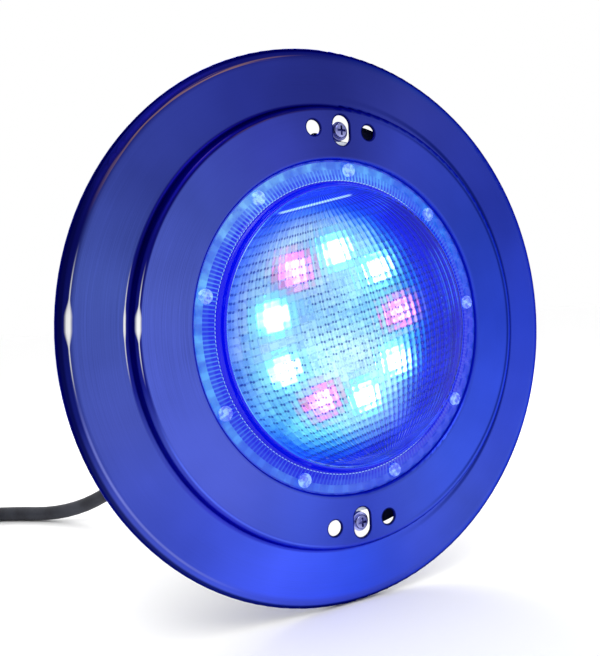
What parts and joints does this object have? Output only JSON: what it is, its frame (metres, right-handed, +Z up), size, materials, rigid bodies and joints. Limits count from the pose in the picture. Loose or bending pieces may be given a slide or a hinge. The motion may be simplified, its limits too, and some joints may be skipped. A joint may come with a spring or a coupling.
{
  "type": "underwater pool light",
  "caption": "Round wall-mounted underwater pool light: stepped steel face ring, clear fluted lens over coloured LEDs, rear housing and trailing cable.",
  "frame": {"origin": "where the lamp axis crosses the wall plane, the plane of the face ring's rear rim", "axes": "+Y along the lamp axis into the wall, so the light shines towards -Y; +Z up, through the top fixing screw"},
  "size_m": [0.412, 0.346, 0.27],
  "materials": {
    "ring_steel": "polished pressed stainless sheet with a faint circular grain, blue in the lamp's light",
    "fastener_steel": "bright A4 stainless",
    "silicone": "matt translucent white silicone",
    "clear_lens": "clear moulded, fluted inside the dome, ribbed rim",
    "clear_optic": "clear acrylic",
    "white_plastic": "bright white reflector",
    "board_white": "white solder mask on aluminium",
    "red_led": "glowing red",
    "green_led": "glowing green",
    "blue_led": "glowing blue",
    "aluminium": "plain extruded",
    "board_green": "green solder mask",
    "component_black": "moulded component bodies",
    "copper_lead": "bare copper",
    "shell_plastic": "smooth white lamp body",
    "brass": "turned",
    "tinned_copper": "tinned",
    "brown_core": "core insulation",
    "blue_core": "core insulation",
    "housing_plastic": "black glass-filled, finely textured",
    "gland_plastic": "black nylon",
    "black_rubber": "black seal rubber",
    "cable_rubber": "dull charcoal rubber sheath",
    "tie_plastic": "natural nylon",
    "nylon": "natural nylon"
  },
  "bodies": {
    "light": {"face_ring": "ring_steel", "ring_studs": "fastener_steel", "stud_washers": "fastener_steel", "stud_nuts": "fastener_steel", "front_gasket": "silicone", "lens": "clear_lens", "lens_seal": "silicone", "rear_gasket": "silicone", "reflector": "white_plastic", "optics": "clear_optic", "led_board": "board_white", "red_leds": "red_led", "green_leds": "green_led", "blue_leds": "blue_led", "heat_sink": "aluminium", "board_screws": "fastener_steel", "driver_standoffs": "brass", "driver_board": "board_green", "driver_parts": "component_black", "driver_screws": "fastener_steel", "led_leads": "copper_lead", "terminal_leads": "copper_lead", "lamp_shell": "shell_plastic", "terminals": "brass", "terminal_lugs": "tinned_copper", "terminal_screws": "brass", "live_core": "brown_core", "neutral_core": "blue_core", "housing": "housing_plastic", "gland_body": "gland_plastic", "gland_locknut": "gland_plastic", "gland_ring": "black_rubber", "gland_insert": "black_rubber", "gland_cap": "gland_plastic", "cable_inlet": "cable_rubber", "cable": "cable_rubber", "cable_coil": "cable_rubber", "coil_ties": "tie_plastic", "cable_end": "cable_rubber", "end_cores": "brown_core", "end_ferrules": "tinned_copper"},
    "top_screw_washer": {"top_washer": "nylon"},
    "top_fixing_screw": {"top_screw": "fastener_steel", "top_clip": "fastener_steel"},
    "bottom_screw_washer": {"bottom_washer": "nylon"},
    "bottom_fixing_screw": {"bottom_screw": "fastener_steel", "bottom_clip": "fastener_steel"}
  },
  "joints": [
    {"name": "top_screw_travel", "type": "slide", "parent": "light", "child": "top_screw_washer", "axis": [0, -1, 0], "range_m": [0, 0.012]},
    {"name": "top_screw_turn", "type": "hinge", "parent": "top_screw_washer", "child": "top_fixing_screw", "pos_m": [0, 0, 0.0939], "axis": [0, -1, 0], "range_deg": [0, 5400]},
    {"name": "bottom_screw_travel", "type": "slide", "parent": "light", "child": "bottom_screw_washer", "axis": [0, -1, 0], "range_m": [0, 0.012]},
    {"name": "bottom_screw_turn", "type": "hinge", "parent": "bottom_screw_washer", "child": "bottom_fixing_screw", "pos_m": [0, 0, -0.0939], "axis": [0, -1, 0], "range_deg": [0, 5400]}
  ],
  "couplings": [
    {"joint": "top_screw_turn", "follows": "top_screw_travel", "rad_per_m": 7854},
    {"joint": "bottom_screw_turn", "follows": "bottom_screw_travel", "rad_per_m": 7854}
  ]
}
